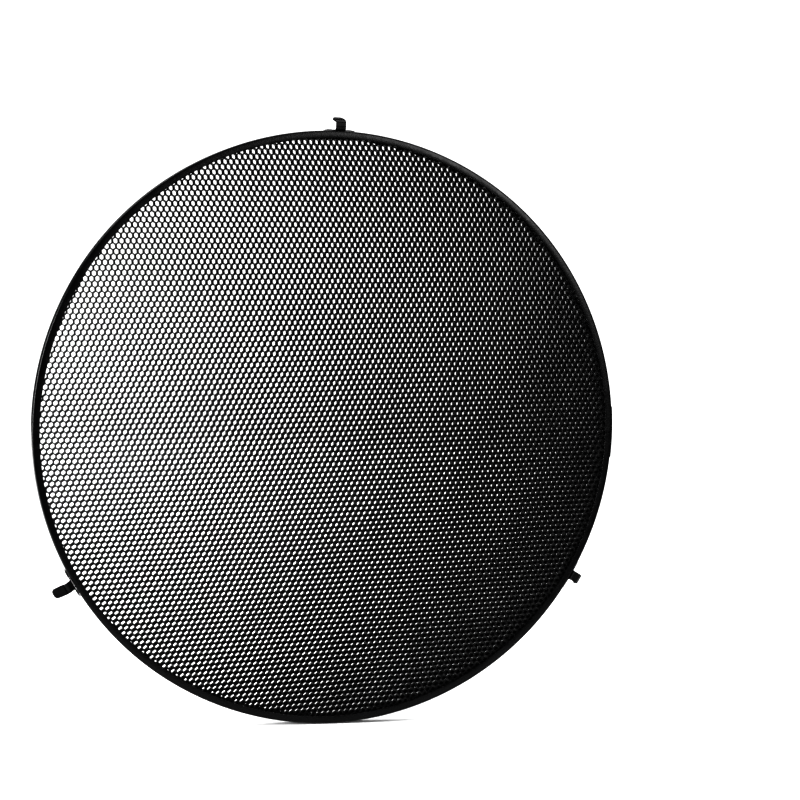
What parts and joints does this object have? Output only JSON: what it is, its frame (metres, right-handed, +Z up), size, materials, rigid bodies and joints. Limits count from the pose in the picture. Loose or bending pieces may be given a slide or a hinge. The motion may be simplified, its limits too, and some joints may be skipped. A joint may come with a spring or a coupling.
{
  "type": "honeycomb grid",
  "caption": "Round black honeycomb grid for a studio reflector: foil core in a rolled channel rim, with sprung clips that hook over the reflector's edge.",
  "frame": {"origin": "on the disc's axis, halfway through the rim's depth", "axes": "+Y along the disc's axis towards the lamp, -Y the way the light leaves, +Z up through the top clip"},
  "size_m": [0.422, 0.0166, 0.4305],
  "materials": {
    "rim_paint": "semi-gloss black powder coat",
    "foil": "matte black painted foil",
    "spring": "satin black spring strip",
    "rivet": "satin black rivet head",
    "rubber": "matte black rubber"
  },
  "bodies": {
    "grid": {"rim_channel": "rim_paint", "rim_joint_plate": "rim_paint", "rim_joint_rivet_1": "rivet", "rim_joint_rivet_2": "rivet", "rim_joint_rivet_3": "rivet", "rim_joint_rivet_4": "rivet", "clip_foot_top": "spring", "clip_rivet_top_1": "rivet", "clip_rivet_top_2": "rivet", "clip_foot_right": "spring", "clip_rivet_right_1": "rivet", "clip_rivet_right_2": "rivet", "clip_foot_left": "spring", "clip_rivet_left_1": "rivet", "clip_rivet_left_2": "rivet", "foil_ribbon_01": "foil", "foil_ribbon_02": "foil", "foil_ribbon_03": "foil", "foil_ribbon_04": "foil", "foil_ribbon_05": "foil", "foil_ribbon_06": "foil", "foil_ribbon_07": "foil", "foil_ribbon_08": "foil", "foil_ribbon_09": "foil", "foil_ribbon_10": "foil", "foil_ribbon_11": "foil", "foil_ribbon_12": "foil", "foil_ribbon_13": "foil", "foil_ribbon_14": "foil", "foil_ribbon_15": "foil", "foil_ribbon_16": "foil", "foil_ribbon_17": "foil", "foil_ribbon_18": "foil", "foil_ribbon_19": "foil", "foil_ribbon_20": "foil", "foil_ribbon_21": "foil", "foil_ribbon_22": "foil", "foil_ribbon_23": "foil", "foil_ribbon_24": "foil", "foil_ribbon_25": "foil", "foil_ribbon_26": "foil", "foil_ribbon_27": "foil", "foil_ribbon_28": "foil"},
    "clip_top": {"clip_strip_top": "spring", "clip_sleeve_top": "rubber"},
    "clip_right": {"clip_strip_right": "spring", "clip_sleeve_right": "rubber"},
    "clip_left": {"clip_strip_left": "spring", "clip_sleeve_left": "rubber"}
  },
  "joints": [
    {"name": "clip_top_flex", "type": "hinge", "parent": "grid", "child": "clip_top", "pos_m": [0, -0.0053, 0.2108], "axis": [1, 0, 0], "range_deg": [-12, 45], "stiffness_Nm_per_rad": 0.1},
    {"name": "clip_right_flex", "type": "hinge", "parent": "grid", "child": "clip_right", "pos_m": [0.18256, -0.0053, -0.1054], "axis": [-0.5, 0, -0.866], "range_deg": [-12, 45], "stiffness_Nm_per_rad": 0.1},
    {"name": "clip_left_flex", "type": "hinge", "parent": "grid", "child": "clip_left", "pos_m": [-0.18069, -0.0053, -0.10857], "axis": [-0.515, 0, 0.8572], "range_deg": [-54, 3], "stiffness_Nm_per_rad": 0.1}
  ]
}
